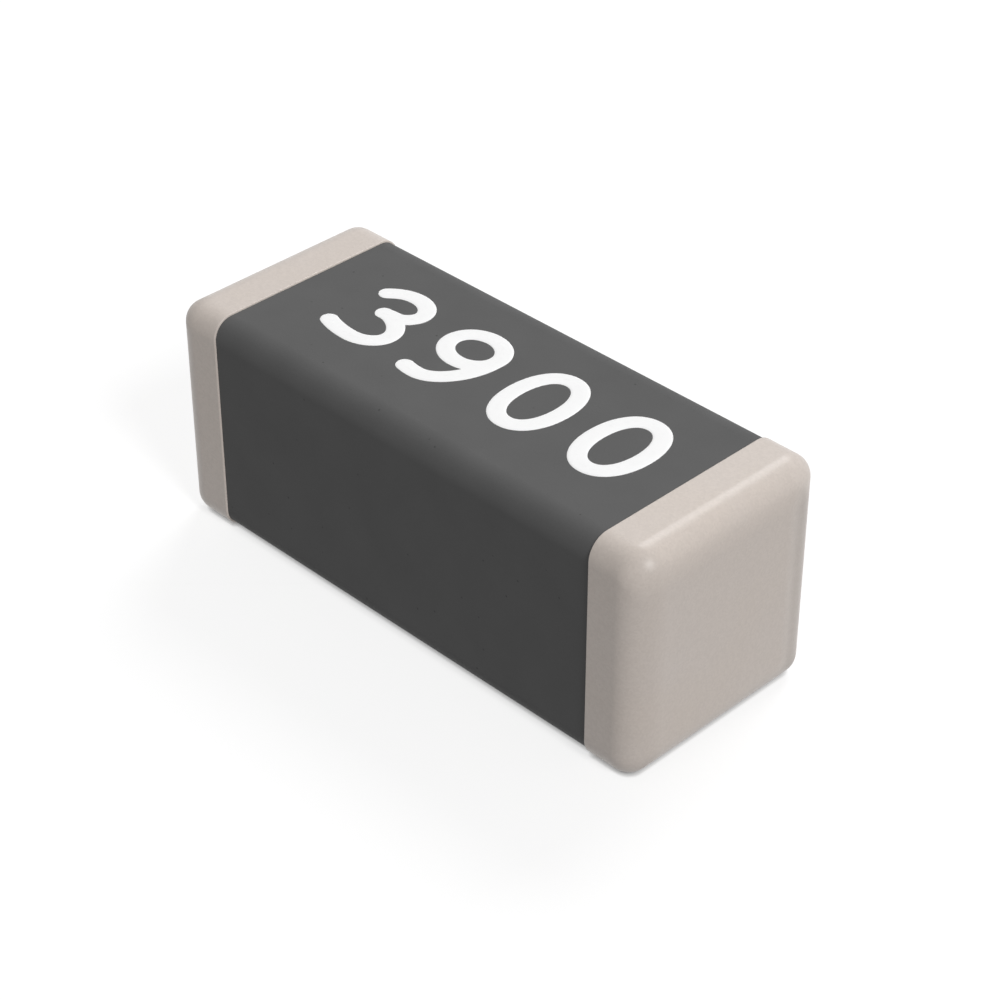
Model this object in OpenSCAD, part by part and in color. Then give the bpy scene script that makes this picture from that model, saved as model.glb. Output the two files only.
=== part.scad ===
// Multilayer ferrite chip inductor for surface mounting, in the 1.6 x 0.8 mm case.
//
// A chip like this is made flat. Silver paste is printed on thin sheets of raw
// ferrite, each print three quarters of a turn, and a plug of paste through the
// sheet joins it to the next. The stack is pressed, cut and fired into one block
// with the coil sealed inside. Both ends are then dipped in silver, and plated
// with nickel and tin, so that they can be soldered.
//
// All sizes are in millimetres. The origin is in the middle of the chip, where a
// placing machine takes it, with X along the chip and Z up from the board, along
// the axis of the coil.

/* [Chip] */
// Length over both end terminations
chip_l = 1.7; // [1.6:0.05:1.8]
// Width over the terminations
chip_w = 0.67; // [0.65:0.01:0.8]
// Height over the terminations
chip_h = 0.68; // [0.65:0.01:0.8]
// Radius of the outer edges and corners
edge_r = 0.062; // [0.04:0.002:0.08]

/* [Terminations] */
// Reach of a termination along the four long faces
band_w = 0.16; // [0.12:0.01:0.3]
// Thickness of the dipped silver on the long faces
silver_side_t = 0.002; // [0.002:0.001:0.01]
// Thickness of the dipped silver on the end face
silver_end_t = 0.018; // [0.01:0.002:0.03]
// Thickness of the nickel plating
nickel_t = 0.001; // [0.001:0.0005:0.003]
// Thickness of the tin plating
tin_t = 0.002; // [0.002:0.0005:0.005]

/* [Coil] */
// Number of printed layers, such that the last one ends at the far termination
layers = 14; // [6, 7, 10, 11, 14]
// Length of the coil between the middles of its end lines
coil_l = 1.1; // [0.9:0.05:1.2]
// Width of the coil between the middles of its side lines
coil_w = 0.36; // [0.3:0.01:0.4]
// Rise from one printed layer to the next, the thickness of a fired sheet
sheet_t = 0.034; // [0.03:0.001:0.036]
// Width of a printed line
line_w = 0.09; // [0.06:0.01:0.1]
// Thickness of a printed line
line_t = 0.014; // [0.01:0.001:0.018]
// Diameter of the round pad at each end of a layer, where a plug meets it
pad_d = 0.11; // [0.1:0.01:0.13]
// Diameter of the plug of paste through a sheet
plug_d = 0.064; // [0.04:0.002:0.07]
// Width of a lead-out where it meets the termination
lead_w = 0.14; // [0.1:0.01:0.2]
// Length of the wide end of a lead-out
lead_end_l = 0.08; // [0.04:0.01:0.1]

/* [Hidden] */
$fn = 48;
LEFT = -1;
RIGHT = 1;

// Coatings of a termination, from the inside out. Coat 0 is the bare ferrite.
SILVER = 1;
NICKEL = 2;
TIN = 3;
side_coats = [silver_side_t, nickel_t, tin_t];
end_coats = [silver_end_t, nickel_t, tin_t];

// Colours, as fired, printed and plated
ferrite_colour = "#565656";
silver_colour = "#d9d6cf";
nickel_colour = "#a9a59b";
tin_colour = "#c9c1b9";

// Corners of the coil in plan, counted anticlockwise from the left front
corners = [[-coil_l, -coil_w] / 2, [coil_l, -coil_w] / 2,
           [coil_l, coil_w] / 2, [-coil_l, coil_w] / 2];
// A layer runs along three of the four sides
sides_per_layer = 3;
coil_h = (layers - 1) * sheet_t + line_t;

function two_digits(n) = str(n < 10 ? "0" : "", n);
function layer_name(n) = str("coil_layer_", two_digits(n));

function total(list, from) = from < len(list) ? list[from] + total(list, from + 1) : 0;

// How far the coats outside coat n stand off it, on the long faces and on the end
function side_cover(n) = total(side_coats, n);
function end_cover(n) = total(end_coats, n);

function corner(i) = corners[i % len(corners)];
function first_corner(n) = sides_per_layer * (n - 1);
function layer_z(n) = (n - 1) * sheet_t - coil_h / 2;

// A block with every edge and corner rounded, centred on the origin
module rounded_block(size, r) {
    flat = size - 2 * r * [1, 1, 1];
    lay_along = [[0, 90, 0], [90, 0, 0], [0, 0, 0]];
    for (axis = [0 : 2]) {
        // A slab between two opposite faces, and the four edges that run along the axis
        cube([for (i = [0 : 2]) i == axis ? size[i] : flat[i]], center = true);
        for (s = [-1, 1], t = [-1, 1])
            translate([for (i = [0 : 2]) i == axis ? 0 : (i == (axis + 1) % 3 ? s : t) * flat[i] / 2])
                rotate(lay_along[axis])
                    cylinder(r = r, h = flat[axis], center = true);
    }
    for (x = [-1, 1], y = [-1, 1], z = [-1, 1])
        translate([x * flat.x, y * flat.y, z * flat.z] / 2)
            sphere(r = r);
}

// The whole chip up to coat n, as if that coat went all the way along it
module coated_block(n) {
    side = side_cover(n);
    rounded_block([chip_l - 2 * end_cover(n), chip_w - 2 * side, chip_h - 2 * side],
                  edge_r - side);
}

// The end of the chip up to coat n, cut off where that coat stops.
// A plated coat also wraps the rim of the coat below it.
module coated_end(n, end) {
    reach = band_w - side_cover(n);
    intersection() {
        coated_block(n);
        translate([end * (chip_l - reach), 0, 0])
            cube([chip_l, 2 * chip_w, 2 * chip_h], center = true);
    }
}

// One coat of a termination: a cup over the end face and the four long faces
module coat(n, end) {
    difference() {
        coated_end(n, end);
        coated_block(0);
        if (n > SILVER) coated_end(n - 1, end);
    }
}

module silver_base(end) {
    color(silver_colour) coat(SILVER, end);
}

module nickel_barrier(end) {
    color(nickel_colour) coat(NICKEL, end);
}

module tin_plating(end) {
    color(tin_colour) coat(TIN, end);
}

// A printed line from a to b in plan, with the round ends that paste takes
module printed_line(a, b) {
    run = b - a;
    translate(a)
        rotate(atan2(run.y, run.x))
            translate([0, -line_w / 2])
                square([norm(run), line_w]);
    for (p = [a, b])
        translate(p)
            circle(d = line_w);
}

// The lead-out from a corner of the coil to the end face, where it widens
module lead_out(i, end) {
    start = corner(i);
    face_x = chip_l / 2 - end_cover(0);
    printed_line(start, [end * (face_x - line_w / 2), start.y]);
    translate([end * (face_x - lead_end_l / 2), start.y])
        square([lead_end_l, lead_w], center = true);
}

// One printed layer of the coil, with the plug that joins it to the layer above.
// Each end of the layer is a round pad for a plug, or a lead-out.
module coil_layer(n) {
    first = first_corner(n);
    last = first + sides_per_layer;
    color(silver_colour)
        translate([0, 0, layer_z(n)]) {
            linear_extrude(line_t) {
                for (i = [first : last - 1]) printed_line(corner(i), corner(i + 1));
                if (n == 1) lead_out(first, LEFT);
                else translate(corner(first)) circle(d = pad_d);
                if (n == layers) lead_out(last, RIGHT);
                else translate(corner(last)) circle(d = pad_d);
            }
            if (n < layers)
                translate(corner(last))
                    cylinder(d = plug_d, h = sheet_t);
        }
}

// The fired block, one piece, with the space that the coil fills
module ferrite_body() {
    color(ferrite_colour)
        difference() {
            coated_block(0);
            for (n = [1 : layers]) coil_layer(n);
        }
}

ferrite_body();
for (n = [1 : layers])
    coil_layer(n);
silver_base(LEFT);  // left_silver_base
nickel_barrier(LEFT);  // left_nickel_barrier
tin_plating(LEFT);  // left_tin_plating
silver_base(RIGHT);  // right_silver_base
nickel_barrier(RIGHT);  // right_nickel_barrier
tin_plating(RIGHT);  // right_tin_plating
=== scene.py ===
# A multilayer ferrite chip inductor, 1.7 mm long, on a plain white table.
# The sections follow the chip as it is made: fired block, coil, end coats, marking.
# New pieces are modelled in millimetres and then brought to metres.
import math

import bpy
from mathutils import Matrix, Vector


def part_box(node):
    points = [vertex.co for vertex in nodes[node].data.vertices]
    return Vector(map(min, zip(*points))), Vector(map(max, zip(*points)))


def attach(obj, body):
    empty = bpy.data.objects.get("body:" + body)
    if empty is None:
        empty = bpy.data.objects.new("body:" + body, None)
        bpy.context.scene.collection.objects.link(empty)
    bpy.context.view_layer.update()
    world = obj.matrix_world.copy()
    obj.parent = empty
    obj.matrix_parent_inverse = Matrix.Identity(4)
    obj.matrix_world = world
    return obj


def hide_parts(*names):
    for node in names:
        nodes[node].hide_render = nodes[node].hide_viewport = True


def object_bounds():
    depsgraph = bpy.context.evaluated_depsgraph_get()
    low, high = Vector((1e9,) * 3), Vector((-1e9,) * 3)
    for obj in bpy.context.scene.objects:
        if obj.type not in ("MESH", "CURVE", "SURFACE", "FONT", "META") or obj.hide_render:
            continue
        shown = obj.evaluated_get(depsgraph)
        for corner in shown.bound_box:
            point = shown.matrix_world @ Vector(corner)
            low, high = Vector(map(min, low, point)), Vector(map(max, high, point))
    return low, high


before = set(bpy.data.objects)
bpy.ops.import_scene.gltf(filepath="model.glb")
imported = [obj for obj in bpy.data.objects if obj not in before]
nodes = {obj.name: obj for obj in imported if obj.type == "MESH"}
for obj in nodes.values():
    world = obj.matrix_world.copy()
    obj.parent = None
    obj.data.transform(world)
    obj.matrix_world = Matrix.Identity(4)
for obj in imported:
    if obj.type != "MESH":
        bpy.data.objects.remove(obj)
cad_low, cad_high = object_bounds()

# Camera: a long lens that looks down on the chip's right front corner, as in the photograph.
# Its distances are in millimetres from the middle of the chip.
MM = 0.001
camera_aim = Vector((0.0857, -0.0291, 0.0)) * MM
camera_distance = 7.0229 * MM
camera_azimuth = math.radians(45.26)
camera_elevation = math.radians(35.37)
away = Vector((
    math.sin(camera_azimuth) * math.cos(camera_elevation),
    -math.cos(camera_azimuth) * math.cos(camera_elevation),
    math.sin(camera_elevation),
))
bpy.ops.object.camera_add(location=camera_aim + away * camera_distance)
camera = bpy.context.object
camera.name = "camera"
camera.rotation_mode = "QUATERNION"
camera.rotation_quaternion = away.to_track_quat("Z", "Y")
camera.data.sensor_width = 36
camera.data.lens = 96.09
camera.data.clip_start = 0.5 * MM
camera.data.clip_end = 1000 * MM
bpy.context.scene.camera = camera

# Fired block: sheets of nickel-zinc ferrite, stacked with the printed coil between them,
# pressed, cut into chips, tumbled until every edge is round, and fired into one piece.
# The coil and its two lead-outs fill the space inside it.
block_edge = 0.057
block_turn = 0.068
layer_nodes = sorted(name for name in nodes if name.startswith("coil_layer"))


def only(piece):
    """Selects this piece alone."""
    bpy.ops.object.select_all(action="DESELECT")
    piece.select_set(True)
    bpy.context.view_layer.objects.active = piece


def box_of(node):
    """The lowest and highest corner of a node of the frame, in millimetres."""
    low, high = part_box(node)
    return low / MM, high / MM


def rounded_block(name, low, high, edge, turn, dome=0):
    """A block, modelled in millimetres, with all its edges and corners rounded.

    Rows of cuts beside the edges carry the shading that soften gives, with its turn and dome.
    """
    cuts = 4
    bpy.ops.object.select_all(action="DESELECT")
    bpy.ops.mesh.primitive_cube_add(size=1, location=(low + high) / 2, scale=high - low)
    block = bpy.context.object
    block.name = block.data.name = name
    bpy.ops.object.transform_apply(location=True, rotation=True, scale=True)
    bpy.ops.object.mode_set(mode="EDIT")
    bpy.ops.mesh.select_all(action="SELECT")
    bpy.ops.mesh.bevel(offset=edge, segments=12, profile=0.5, affect="EDGES")
    for axis, reach in enumerate((turn, turn + dome, turn + dome)):
        for face, inward in ((low[axis], 1), (high[axis], -1)):
            for cut in range(1, cuts + 1):
                place = Vector()
                place[axis] = face + inward * (edge + (reach - edge) * cut / cuts)
                direction = Vector()
                direction[axis] = 1
                bpy.ops.mesh.select_all(action="SELECT")
                bpy.ops.mesh.bisect(plane_co=place, plane_no=direction)
    bpy.ops.object.mode_set(mode="OBJECT")
    return block


def cut_or_join(piece, others, operation):
    """Takes other pieces out of this one, or joins them on, all at once, and deletes them."""
    group = bpy.data.collections.new("group")
    for other in others:
        group.objects.link(other)
    change = piece.modifiers.new("change", "BOOLEAN")
    change.operation = operation
    change.solver = "EXACT"
    change.operand_type = "COLLECTION"
    change.collection = group
    only(piece)
    bpy.ops.object.modifier_apply(modifier=change.name)
    for other in others:
        bpy.data.objects.remove(other)
    bpy.data.collections.remove(group)


def shade(piece, sharpest=30):
    """Shades the round parts smooth, up to this angle between faces, while flat faces stay flat."""
    only(piece)
    bpy.ops.object.shade_smooth_by_angle(angle=math.radians(sharpest))
    even = piece.modifiers.new("even_shading", "WEIGHTED_NORMAL")
    even.keep_sharp = True
    bpy.ops.object.modifier_apply(modifier=even.name)


def soften(piece, low, high, edge, turn, dome=0, in_skin=lambda place: True):
    """Shades the outer skin as if each face began to turn over this far from the next one.

    A domed end face begins further in, as far as dome says, but not towards the board.
    """
    half = (high - low) / 2
    middle = (high + low) / 2
    tolerance = 0.02

    def outward(place, starts, bulge):
        """How far out a place is along each axis, from 0 where the turn starts to 1 at the face."""
        parts = Vector()
        for axis in range(3):
            along = place[axis] - middle[axis]
            towards_board = axis == 2 and along < 0
            reach = starts if towards_board else starts + bulge * abs(parts.x)
            flat = half[axis] - reach
            parts[axis] = (along - max(-flat, min(flat, along))) / reach
        return parts

    mesh = piece.data
    normals = [Vector(corner.vector) for corner in mesh.corner_normals]
    for face in mesh.polygons:
        on_surface = abs(outward(face.center, edge, 0).length - 1) < tolerance
        if on_surface and in_skin(face.center):
            for loop in face.loop_indices:
                place = mesh.vertices[mesh.loops[loop].vertex_index].co
                normals[loop] = outward(place, turn, dome).normalized()
    mesh.normals_split_custom_set(normals)


def to_metres(piece):
    """Brings a piece that was modelled in millimetres to metres."""
    only(piece)
    piece.scale = (MM, MM, MM)
    bpy.ops.object.transform_apply(location=True, rotation=True, scale=True)


def linear(hex_colour):
    """An sRGB colour such as #808080 as linear light, with an alpha of 1."""
    levels = [int(hex_colour[i : i + 2], 16) / 255 for i in (1, 3, 5)]
    light = [v / 12.92 if v <= 0.04045 else ((v + 0.055) / 1.055) ** 2.4 for v in levels]
    return (*light, 1)


def new_material(name):
    """An empty material, with its node tree."""
    material = bpy.data.materials.new(name)
    material.use_nodes = True
    material.node_tree.nodes.clear()
    return material, material.node_tree


def add(tree, kind, inputs, **settings):
    """Adds a node. Each input is a value, or another node's output, which is linked to it.

    The inputs of a colour Mix are known by number: 0 is the share, 6 and 7 are the two colours.
    """
    node = tree.nodes.new(kind)
    for name, value in settings.items():
        setattr(node, name, value)
    for name, value in inputs.items():
        if isinstance(value, bpy.types.NodeSocket):
            tree.links.new(value, node.inputs[name])
        else:
            node.inputs[name].default_value = value
    return node


def wear(piece, material):
    """Gives a piece or a node of the frame this material alone."""
    piece.data.materials.clear()
    piece.data.materials.append(material)


# Fired ferrite: a dark grey ceramic, matt from grains of a few micrometres. The fine relief
# scatters the light, so it reflects much less than its high index says. Here and there
# a grain has come out in tumbling and left a pore, which is painted darker as painted shade.
grain = 0.007 * MM
cloud = 0.16 * MM
pore_spacing = 0.06 * MM
pore_size = 0.004 * MM
ferrite, tree = new_material("fired_ferrite")
place = add(tree, "ShaderNodeTexCoord", {}).outputs["Object"]
grains = add(
    tree, "ShaderNodeTexNoise",
    {"Vector": place, "Scale": 1 / grain, "Detail": 3, "Roughness": 0.6},
)
clouds = add(tree, "ShaderNodeTexNoise", {"Vector": place, "Scale": 1 / cloud, "Detail": 2})
mottle = add(
    tree, "ShaderNodeMath",
    {0: grains.outputs["Fac"], 1: 0.65, 2: clouds.outputs["Fac"]}, operation="MULTIPLY_ADD",
)
tones = add(
    tree, "ShaderNodeMapRange",
    {"Value": mottle.outputs["Value"], "From Min": 0.55, "From Max": 1.1},
)
body_colour = add(
    tree, "ShaderNodeMix",
    {0: tones.outputs["Result"], 6: linear("#616161"), 7: linear("#656565")}, data_type="RGBA",
)
pits = add(tree, "ShaderNodeTexVoronoi", {"Vector": place, "Scale": 1 / pore_spacing})
depth = add(
    tree, "ShaderNodeMapRange",
    {
        "Value": pits.outputs["Distance"],
        "From Min": 0.5 * pore_size / pore_spacing, "From Max": pore_size / pore_spacing,
        "To Min": 1, "To Max": 0,
    },
)
# Painted shade: each pore is painted darker, as the shade inside the pit.
colour_with_painted_pore_shade = add(
    tree, "ShaderNodeMix",
    {0: depth.outputs["Result"], 6: body_colour.outputs[2], 7: linear("#545454")},
    data_type="RGBA",
)
polish = add(
    tree, "ShaderNodeMapRange",
    {
        "Value": grains.outputs["Fac"], "From Min": 0.3, "From Max": 0.7,
        "To Min": 0.5, "To Max": 0.62,
    },
)
height = add(
    tree, "ShaderNodeMath",
    {0: grains.outputs["Fac"], 1: depth.outputs["Result"]}, operation="SUBTRACT",
)
relief = add(
    tree, "ShaderNodeBump",
    {"Height": height.outputs["Value"], "Strength": 0.2, "Distance": 0.002 * MM},
)
surface = add(
    tree, "ShaderNodeBsdfPrincipled",
    {
        "Base Color": colour_with_painted_pore_shade.outputs[2],
        "Roughness": polish.outputs["Result"],
        "Specular IOR Level": 0.025,
        "Normal": relief.outputs["Normal"],
    },
)
add(tree, "ShaderNodeOutputMaterial", {"Surface": surface.outputs["BSDF"]})

block_low, block_high = box_of("ferrite_body")
block = rounded_block("fired_block", block_low, block_high, block_edge, block_turn)
seam = 0.0001
pastes = []
for name in layer_nodes:
    paste = bpy.data.objects.new("paste", nodes[name].data.copy())
    bpy.context.scene.collection.objects.link(paste)
    only(paste)
    paste.scale = Vector((1, 1, 1)) / MM
    bpy.ops.object.transform_apply(location=True, rotation=True, scale=True)
    bpy.ops.object.mode_set(mode="EDIT")
    bpy.ops.mesh.select_all(action="SELECT")
    bpy.ops.mesh.remove_doubles(threshold=seam)
    bpy.ops.object.mode_set(mode="OBJECT")
    pastes.append(paste)
cut_or_join(block, pastes, "DIFFERENCE")
shade(block)
soften(block, block_low, block_high, block_edge, block_turn)
to_metres(block)
wear(block, ferrite)
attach(block, "root")
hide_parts("ferrite_body")

# Coil: silver paste printed through a screen, three quarters of a turn on each sheet, with
# a plug of paste through the sheet to the next one. It is fired together with the ferrite,
# which leaves a pale warm metal that shines a little between its pores.
flake = 0.004 * MM
screen_pitch = 0.03 * MM
printed_silver, tree = new_material("fired_silver_paste")
place = add(tree, "ShaderNodeTexCoord", {}).outputs["Object"]
flakes = add(tree, "ShaderNodeTexNoise", {"Vector": place, "Scale": 1 / flake, "Detail": 4})
threads = add(
    tree, "ShaderNodeTexWave",
    {"Vector": place, "Scale": math.pi / (10 * screen_pitch), "Distortion": 1.5, "Detail": 1},
    bands_direction="DIAGONAL",
)
print_height = add(
    tree, "ShaderNodeMath",
    {0: threads.outputs["Fac"], 1: 0.4, 2: flakes.outputs["Fac"]}, operation="MULTIPLY_ADD",
)
silver_tone = add(
    tree, "ShaderNodeMix",
    {0: flakes.outputs["Fac"], 6: linear("#c9c5bd"), 7: linear("#e4e1da")}, data_type="RGBA",
)
pressed = add(
    tree, "ShaderNodeMapRange",
    {
        "Value": print_height.outputs["Value"], "From Min": 0.3, "From Max": 1.1,
        "To Min": 0.55, "To Max": 0.4,
    },
)
relief = add(
    tree, "ShaderNodeBump",
    {"Height": print_height.outputs["Value"], "Strength": 0.4, "Distance": 0.002 * MM},
)
surface = add(
    tree, "ShaderNodeBsdfPrincipled",
    {
        "Base Color": silver_tone.outputs[2],
        "Metallic": 1,
        "Roughness": pressed.outputs["Result"],
        "Normal": relief.outputs["Normal"],
    },
)
add(tree, "ShaderNodeOutputMaterial", {"Surface": surface.outputs["BSDF"]})
for name in layer_nodes:
    wear(nodes[name], printed_silver)

# Silver base: each end of the chip is dipped in silver paste with glass in it, and fired.
# The paste draws itself thin over the edges, and the glass rises in dull specks.
speck = 0.012 * MM
dipped_silver, tree = new_material("dipped_silver_and_glass")
place = add(tree, "ShaderNodeTexCoord", {}).outputs["Object"]
specks = add(
    tree, "ShaderNodeTexVoronoi", {"Vector": place, "Scale": 1 / speck}, feature="SMOOTH_F1",
)
flakes = add(tree, "ShaderNodeTexNoise", {"Vector": place, "Scale": 1 / flake, "Detail": 3})
glassy = add(
    tree, "ShaderNodeMapRange",
    {
        "Value": specks.outputs["Distance"], "From Min": 0.15, "From Max": 0.35,
        "To Min": 1, "To Max": 0,
    },
)
silver_tone = add(
    tree, "ShaderNodeMix",
    {0: glassy.outputs["Result"], 6: linear("#d9d6cf"), 7: linear("#b3afa6")}, data_type="RGBA",
)
relief = add(
    tree, "ShaderNodeBump",
    {"Height": flakes.outputs["Fac"], "Strength": 0.35, "Distance": 0.002 * MM},
)
surface = add(
    tree, "ShaderNodeBsdfPrincipled",
    {
        "Base Color": silver_tone.outputs[2],
        "Metallic": 1,
        "Roughness": 0.5,
        "Normal": relief.outputs["Normal"],
    },
)
add(tree, "ShaderNodeOutputMaterial", {"Surface": surface.outputs["BSDF"]})
for side in ("left", "right"):
    wear(nodes[f"{side}_silver_base"], dipped_silver)

# Nickel barrier: plated on the silver in a barrel, so that solder can't dissolve it.
# It is a satin metal, a little yellow, and follows every grain of the silver below.
nickel, tree = new_material("barrel_plated_nickel")
place = add(tree, "ShaderNodeTexCoord", {}).outputs["Object"]
grains = add(tree, "ShaderNodeTexNoise", {"Vector": place, "Scale": 1 / flake, "Detail": 2})
nickel_tone = add(
    tree, "ShaderNodeMix",
    {0: grains.outputs["Fac"], 6: linear("#a19c90"), 7: linear("#b4afa4")}, data_type="RGBA",
)
relief = add(
    tree, "ShaderNodeBump",
    {"Height": grains.outputs["Fac"], "Strength": 0.25, "Distance": 0.001 * MM},
)
surface = add(
    tree, "ShaderNodeBsdfPrincipled",
    {
        "Base Color": nickel_tone.outputs[2],
        "Metallic": 1,
        "Roughness": 0.35,
        "Normal": relief.outputs["Normal"],
    },
)
add(tree, "ShaderNodeOutputMaterial", {"Surface": surface.outputs["BSDF"]})
for side in ("left", "right"):
    wear(nodes[f"{side}_nickel_barrier"], nickel)

# Tin plating: matt tin from a plating barrel, the outermost skin of each end cap. It wraps
# the rim of the nickel down to the ferrite, and its own rim is soft, because the silver
# paste under it was drawn round by its surface tension.
tin_edge = 0.062
tin_turn = 0.07
end_dome = 0.045
nickel_edge = 0.06
rim_softness = 0.004
rim_steps = 5

# Matt tin: crystals of a few micrometres scatter the light almost as paint does. What is
# left of the metal's shine is weak and wide, and lies along the rounded edges.
crystal = 0.006 * MM
bath_streak = 0.3 * MM
tin, tree = new_material("matt_tin_plating")
place = add(tree, "ShaderNodeTexCoord", {}).outputs["Object"]
crystals = add(tree, "ShaderNodeTexVoronoi", {"Vector": place, "Scale": 1 / crystal})
each_crystal = add(tree, "ShaderNodeSeparateColor", {"Color": crystals.outputs["Color"]})
tin_tone = add(
    tree, "ShaderNodeMix",
    {0: each_crystal.outputs["Red"], 6: linear("#cfc6c0"), 7: linear("#d5ccc6")}, data_type="RGBA",
)
bath = add(tree, "ShaderNodeTexNoise", {"Vector": place, "Scale": 1 / bath_streak, "Detail": 2})
bath_tint = add(
    tree, "ShaderNodeMix",
    {0: bath.outputs["Fac"], 6: linear("#fffcf7"), 7: linear("#ffffff")}, data_type="RGBA",
)
tinted = add(
    tree, "ShaderNodeMix",
    {0: 1.0, 6: tin_tone.outputs[2], 7: bath_tint.outputs[2]},
    data_type="RGBA", blend_type="MULTIPLY",
)
facets = add(tree, "ShaderNodeTexNoise", {"Vector": place, "Scale": 1 / crystal, "Detail": 2})
dull = add(
    tree, "ShaderNodeMapRange",
    {
        "Value": facets.outputs["Fac"], "From Min": 0.3, "From Max": 0.7,
        "To Min": 0.3, "To Max": 0.36,
    },
)
relief = add(
    tree, "ShaderNodeBump",
    {"Height": facets.outputs["Fac"], "Strength": 0.1, "Distance": 0.001 * MM},
)
surface = add(
    tree, "ShaderNodeBsdfPrincipled",
    {
        "Base Color": tinted.outputs[2],
        "Roughness": dull.outputs["Result"],
        "Specular IOR Level": 0.27,
        "Normal": relief.outputs["Normal"],
    },
)
add(tree, "ShaderNodeOutputMaterial", {"Surface": surface.outputs["BSDF"]})


def end_shell(name, low, high, edge, rim):
    """The right end of a rounded block, as a skin that is open at the rim."""
    shell = rounded_block(name, low, high, edge, tin_turn, end_dome)
    bpy.ops.object.mode_set(mode="EDIT")
    bpy.ops.mesh.select_all(action="SELECT")
    bpy.ops.mesh.bisect(plane_co=(rim, 0, 0), plane_no=(1, 0, 0), clear_inner=True)
    bpy.ops.object.mode_set(mode="OBJECT")
    return shell


def draw_rim(size, new_size, along):
    """Extrudes the selected rim along the chip, and draws it in to a new size across."""
    bpy.ops.mesh.extrude_region_move(TRANSFORM_OT_translate={"value": (along, 0, 0)})
    bpy.ops.transform.resize(
        value=(1, new_size.y / size.y, new_size.z / size.z), center_override=(0, 0, 0)
    )


def select_rim(piece):
    """Enters edit mode with the open edge of a shell selected."""
    only(piece)
    bpy.ops.object.mode_set(mode="EDIT")
    bpy.ops.mesh.select_all(action="DESELECT")
    bpy.ops.mesh.select_mode(type="EDGE")
    bpy.ops.mesh.select_non_manifold(extend=False)


tin_low, tin_high = box_of("left_tin_plating")[0], box_of("right_tin_plating")[1]
nickel_low, nickel_high = box_of("left_nickel_barrier")[0], box_of("right_nickel_barrier")[1]
rim_place = box_of("right_tin_plating")[0].x
nickel_rim = box_of("right_nickel_barrier")[0].x

cap = end_shell("right_tin_cap", tin_low, tin_high, tin_edge, rim_place + rim_softness)
select_rim(cap)
size = tin_high.copy()
reached = 0.0
for step in range(1, rim_steps + 1):
    turn = math.pi / 2 * step / rim_steps
    drawn_in = rim_softness * (1 - math.cos(turn))
    new_size = tin_high - Vector((0, drawn_in, drawn_in))
    along = -rim_softness * math.sin(turn)
    draw_rim(size, new_size, along - reached)
    size = new_size
    reached = along
draw_rim(size, block_high, 0)
draw_rim(block_high, block_high, nickel_rim - rim_place)
bpy.ops.object.mode_set(mode="OBJECT")

# The lining faces inwards, or the ring between the two rims would be twisted
lining = end_shell("lining", nickel_low, nickel_high, nickel_edge, nickel_rim)
bpy.ops.object.mode_set(mode="EDIT")
bpy.ops.mesh.select_all(action="SELECT")
bpy.ops.mesh.flip_normals()
bpy.ops.object.mode_set(mode="OBJECT")
only(cap)
lining.select_set(True)
bpy.ops.object.join()
select_rim(cap)
bpy.ops.mesh.bridge_edge_loops()
bpy.ops.mesh.select_all(action="SELECT")
bpy.ops.mesh.normals_make_consistent(inside=False)
bpy.ops.object.mode_set(mode="OBJECT")

shade(cap)
soften(
    cap, tin_low, tin_high, tin_edge, tin_turn, end_dome,
    in_skin=lambda place: place.x > rim_place + rim_softness,
)

other_cap = bpy.data.objects.new("left_tin_cap", cap.data.copy())
bpy.context.scene.collection.objects.link(other_cap)
only(other_cap)
other_cap.rotation_euler = (0, 0, math.pi)
bpy.ops.object.transform_apply(location=True, rotation=True, scale=True)
for side, piece in (("left", other_cap), ("right", cap)):
    to_metres(piece)
    wear(piece, tin)
    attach(piece, "root")
    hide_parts(f"{side}_tin_plating")

# Marking: a plain number in white epoxy ink, printed on the middle of the top face and
# baked. The pen-like strokes stand two micrometres proud, and their edges are soft.
digit_height = 0.304
stroke_width = 0.051
ink_height = 0.002
ink_flatness = 0.4
ink_sinks = 0.0005
marking_middle = Vector((0.027, 0.0135, 0))
gaps = (0.072, 0.0765, 0.0735)
pen = stroke_width / 2
half_height = digit_height / 2 - pen


def round_off(piece, point, direction):
    """Closes the end of a tube with a half ball, from its flat end outwards."""
    rings = 6
    only(piece)
    bpy.ops.object.mode_set(mode="EDIT")
    bpy.ops.mesh.select_mode(type="FACE")
    bpy.ops.mesh.select_all(action="DESELECT")
    bpy.ops.object.mode_set(mode="OBJECT")
    for face in piece.data.polygons:
        near = (face.center - point).length < pen
        face.select = near and face.normal.dot(direction) > 0.99
    bpy.ops.object.mode_set(mode="EDIT")
    width = 1.0
    reach = 0.0
    for step in range(1, rings):
        turn = math.pi / 2 * step / rings
        bpy.ops.mesh.extrude_region_move(
            TRANSFORM_OT_translate={"value": direction * (pen * math.sin(turn) - reach)}
        )
        reach = pen * math.sin(turn)
        bpy.ops.transform.resize(
            value=[math.cos(turn) / width] * 3, center_override=point + direction * reach
        )
        width = math.cos(turn)
    bpy.ops.object.mode_set(mode="OBJECT")


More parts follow.
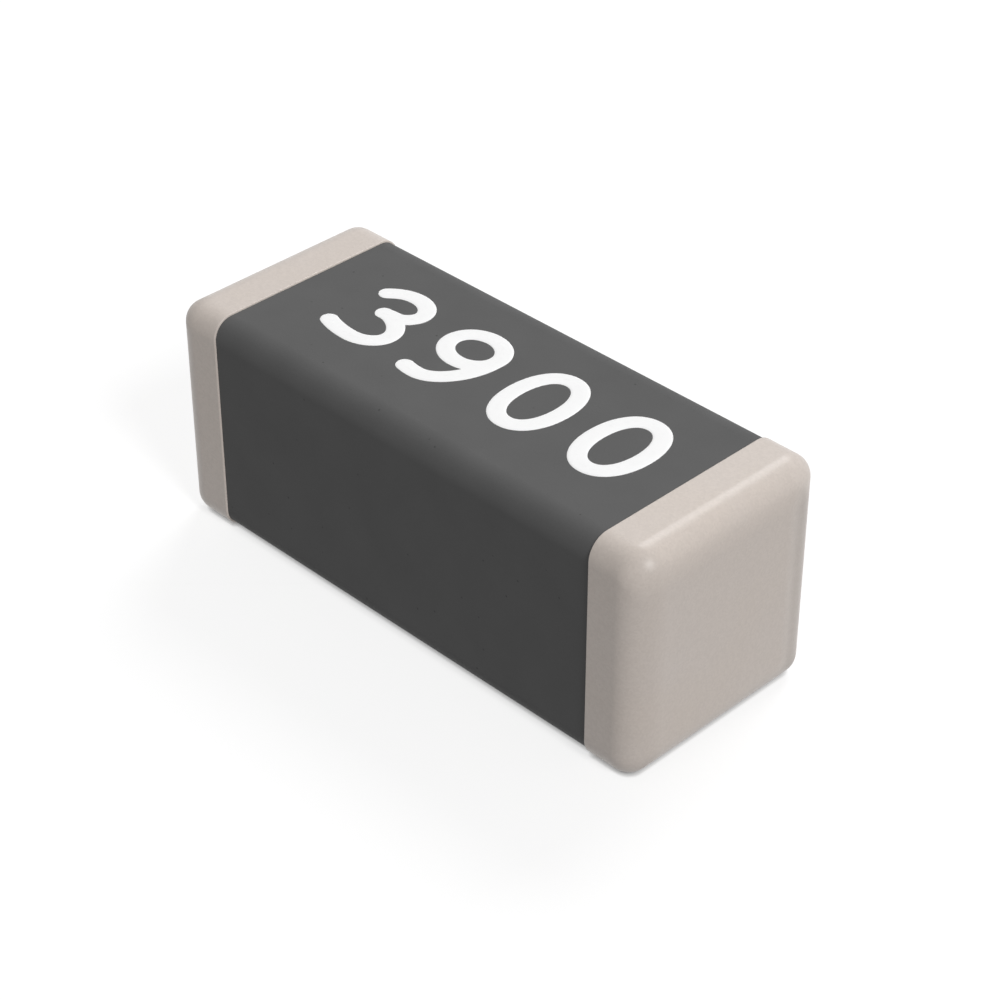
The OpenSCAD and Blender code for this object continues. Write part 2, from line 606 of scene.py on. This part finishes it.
def stroke(knots, closed=False):
    """A round pen stroke through knots: x, y, heading in degrees, and two handle lengths."""
    bpy.ops.object.select_all(action="DESELECT")
    bpy.ops.curve.primitive_bezier_curve_add()
    line = bpy.context.object
    path = line.data.splines[0]
    path.bezier_points.add(len(knots) - 2)
    for point, (x, y, heading, before, after) in zip(path.bezier_points, knots):
        point.handle_left_type = point.handle_right_type = "FREE"
        ahead = Vector((math.cos(math.radians(heading)), math.sin(math.radians(heading)), 0))
        point.co = (x, y, 0)
        point.handle_left = Vector((x, y, 0)) - ahead * before
        point.handle_right = Vector((x, y, 0)) + ahead * after
    path.use_cyclic_u = closed
    path.resolution_u = 20
    line.data.bevel_depth = pen
    line.data.bevel_resolution = 6
    line.data.use_fill_caps = not closed
    bpy.ops.object.convert(target="MESH")
    line = bpy.context.object
    bpy.ops.object.mode_set(mode="EDIT")
    bpy.ops.mesh.select_all(action="SELECT")
    bpy.ops.mesh.remove_doubles(threshold=seam)
    bpy.ops.object.mode_set(mode="OBJECT")
    if not closed:
        for (x, y, heading, *_), way in ((knots[0], -1), (knots[-1], 1)):
            ahead = Vector((math.cos(math.radians(heading)), math.sin(math.radians(heading)), 0))
            round_off(line, Vector((x, y, 0)), ahead * way)
    return line


def oval(x, y, half_width, half_height, fullness):
    """The knots of a closed oval, from its top round to the right."""
    across = half_width * fullness
    up = half_height * fullness
    return [
        (x, y + half_height, 0, across, across),
        (x + half_width, y, -90, up, up),
        (x, y - half_height, 180, across, across),
        (x - half_width, y, 90, up, up),
    ]


# The three has an upper bowl that runs into the waist, and a lower bowl from the waist
# round to the left. Each row is a knot of the pen's path.
three = stroke([
    (-0.080, 0.090, 42, 0.02, 0.03),
    (0.0025, half_height, 0, 0.038, 0.042),
    (0.075, 0.070, -90, 0.03, 0.026),
    (0.020, 0.017, 180, 0.03, 0.010),
    (-0.012, 0.014, 180, 0.010, 0.01),
])
lower_bowl = stroke([
    (0.005, 0.014, 0, 0.02, 0.020),
    (0.0875, -0.062, -90, 0.048, 0.036),
    (0.0025, -half_height, 180, 0.045, 0.04),
    (-0.093, -0.110, 157, 0.02, 0.02),
])
cut_or_join(three, [lower_bowl], "UNION")

# The nine is a ring, with a stem that rises from the lower left into the ring's right side.
nine = stroke(oval(0, 0.056, 0.0825, 0.071, 0.56), closed=True)
stem = stroke([
    (-0.078, -0.122, -12, 0.02, 0.018),
    (-0.030, -half_height, 2, 0.018, 0.05),
    (0.0825, 0.045, 90, 0.1, 0.02),
])
cut_or_join(nine, [stem], "UNION")

# The zero comes twice.
zero = stroke(oval(0, 0, 0.08, half_height, 0.6), closed=True)
last_zero = bpy.data.objects.new("last_zero", zero.data.copy())
bpy.context.scene.collection.objects.link(last_zero)

# The digits are set side by side with the gaps between them, joined and pressed flat.
row = [three, nine, zero, last_zero]
spans = []
for digit in row:
    across = [v.co.x for v in digit.data.vertices]
    spans.append((min(across), max(across)))
total = sum(high - low for low, high in spans) + sum(gaps)
left = marking_middle.x - total / 2
for digit, (low, high), gap in zip(row, spans, (*gaps, 0)):
    only(digit)
    digit.location = (left - low, marking_middle.y, 0)
    bpy.ops.object.transform_apply(location=True, rotation=True, scale=True)
    left += high - low + gap
bpy.ops.object.select_all(action="DESELECT")
for digit in row:
    digit.select_set(True)
bpy.context.view_layer.objects.active = three
bpy.ops.object.join()
marking = bpy.context.object
marking.name = marking.data.name = "printed_number"
for vertex in marking.data.vertices:
    height = vertex.co.z / pen
    vertex.co.z = ink_height * height**ink_flatness if height > 0 else ink_sinks * height
marking.location.z = block_high.z
bpy.ops.object.transform_apply(location=True, rotation=True, scale=True)
shade(marking, sharpest=50)
to_metres(marking)

pigment_grain = 0.008 * MM
ink, tree = new_material("white_epoxy_ink")
place = add(tree, "ShaderNodeTexCoord", {}).outputs["Object"]
pigment = add(tree, "ShaderNodeTexNoise", {"Vector": place, "Scale": 1 / pigment_grain, "Detail": 2})
ink_tone = add(
    tree, "ShaderNodeMix",
    {0: pigment.outputs["Fac"], 6: linear("#fcfcfc"), 7: linear("#ffffff")}, data_type="RGBA",
)
surface = add(
    tree, "ShaderNodeBsdfPrincipled",
    {"Base Color": ink_tone.outputs[2], "Roughness": 0.6, "Specular IOR Level": 0.2},
)
add(tree, "ShaderNodeOutputMaterial", {"Surface": surface.outputs["BSDF"]})
wear(marking, ink)
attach(marking, "root")

# White table: the pale floor of the photograph. The camera and reflections see it white,
# with the chip's soft shadow on it. Stray light passes through it to the white room below,
# so that the chip's sides and underside are lit evenly, and it can be looked at from below.
# The narrow gap that the chip's rounded lower edges leave above it has painted shade: ambient
# occlusion dims the table's white glow there.
table_size = 400 * MM
painted_contact_shade_reach = 0.015 * MM
bpy.ops.object.select_all(action="DESELECT")
bpy.ops.mesh.primitive_plane_add(size=table_size, location=(0, 0, cad_low.z))
table = bpy.context.object
table.name = "table"
white, tree = new_material("white_table")
rays = add(tree, "ShaderNodeLightPath", {})
seen = add(
    tree, "ShaderNodeMath",
    {0: rays.outputs["Is Camera Ray"], 1: rays.outputs["Is Glossy Ray"]}, operation="MAXIMUM",
)
side_of = add(tree, "ShaderNodeNewGeometry", {})
shown = add(
    tree, "ShaderNodeMath",
    {0: seen.outputs["Value"], 1: side_of.outputs["Backfacing"]},
    operation="SUBTRACT", use_clamp=True,
)
matt = add(tree, "ShaderNodeBsdfDiffuse", {"Color": linear("#a0a0a0")})
# Painted shade: ambient occlusion dims the white glow near the chip, out to this reach.
gap = add(tree, "ShaderNodeAmbientOcclusion", {"Distance": painted_contact_shade_reach}, samples=4)
glow_with_painted_shade = add(tree, "ShaderNodeMath", {0: gap.outputs["AO"], 1: 0.72}, operation="MULTIPLY")
glow = add(tree, "ShaderNodeEmission", {"Color": (1, 1, 1, 1), "Strength": glow_with_painted_shade.outputs["Value"]})
both = add(tree, "ShaderNodeAddShader", {0: matt.outputs["BSDF"], 1: glow.outputs["Emission"]})
clear = add(tree, "ShaderNodeBsdfTransparent", {})
mixed = add(
    tree, "ShaderNodeMixShader",
    {0: shown.outputs["Value"], 1: clear.outputs["BSDF"], 2: both.outputs["Shader"]},
)
add(tree, "ShaderNodeOutputMaterial", {"Surface": mixed.outputs["Shader"]})
wear(table, white)


# Studio light: one wide soft lamp high up behind the chip, a narrower and stronger one
# beyond its right end, and the white room all around, which gives off only a little stray light.
def soft_lamp(name, azimuth, elevation, strength, width):
    """A lamp far off with a wide face, as degrees round from the chip's right end and up."""
    bpy.ops.object.light_add(type="SUN")
    lamp = bpy.context.object
    lamp.name = name
    toward = Vector((
        math.cos(math.radians(azimuth)) * math.cos(math.radians(elevation)),
        math.sin(math.radians(azimuth)) * math.cos(math.radians(elevation)),
        math.sin(math.radians(elevation)),
    ))
    lamp.rotation_mode = "QUATERNION"
    lamp.rotation_quaternion = toward.to_track_quat("Z", "Y")
    lamp.data.energy = strength
    lamp.data.angle = math.radians(width)


stray_light = 0.34
soft_lamp("key_lamp", 110, 46, 0.4 * math.pi, 28)
soft_lamp("end_lamp", -10, 42, 0.47 * math.pi, 17)

world = bpy.data.worlds.new("white_room")
bpy.context.scene.world = world
world.use_nodes = True
tree = world.node_tree
tree.nodes.clear()
rays = add(tree, "ShaderNodeLightPath", {})
seen = add(
    tree, "ShaderNodeMath",
    {0: rays.outputs["Is Camera Ray"], 1: rays.outputs["Is Glossy Ray"]}, operation="MAXIMUM",
)
open_view = add(
    tree, "ShaderNodeMath",
    {0: seen.outputs["Value"], 1: rays.outputs["Is Transmission Ray"]}, operation="MAXIMUM",
)
level = add(
    tree, "ShaderNodeMapRange",
    {"Value": open_view.outputs["Value"], "To Min": stray_light, "To Max": 1.0},
)
room = add(
    tree, "ShaderNodeBackground", {"Color": (1, 1, 1, 1), "Strength": level.outputs["Result"]},
)
add(tree, "ShaderNodeOutputWorld", {"Surface": room.outputs["Background"]})

bpy.context.scene.view_settings.view_transform = "Standard"
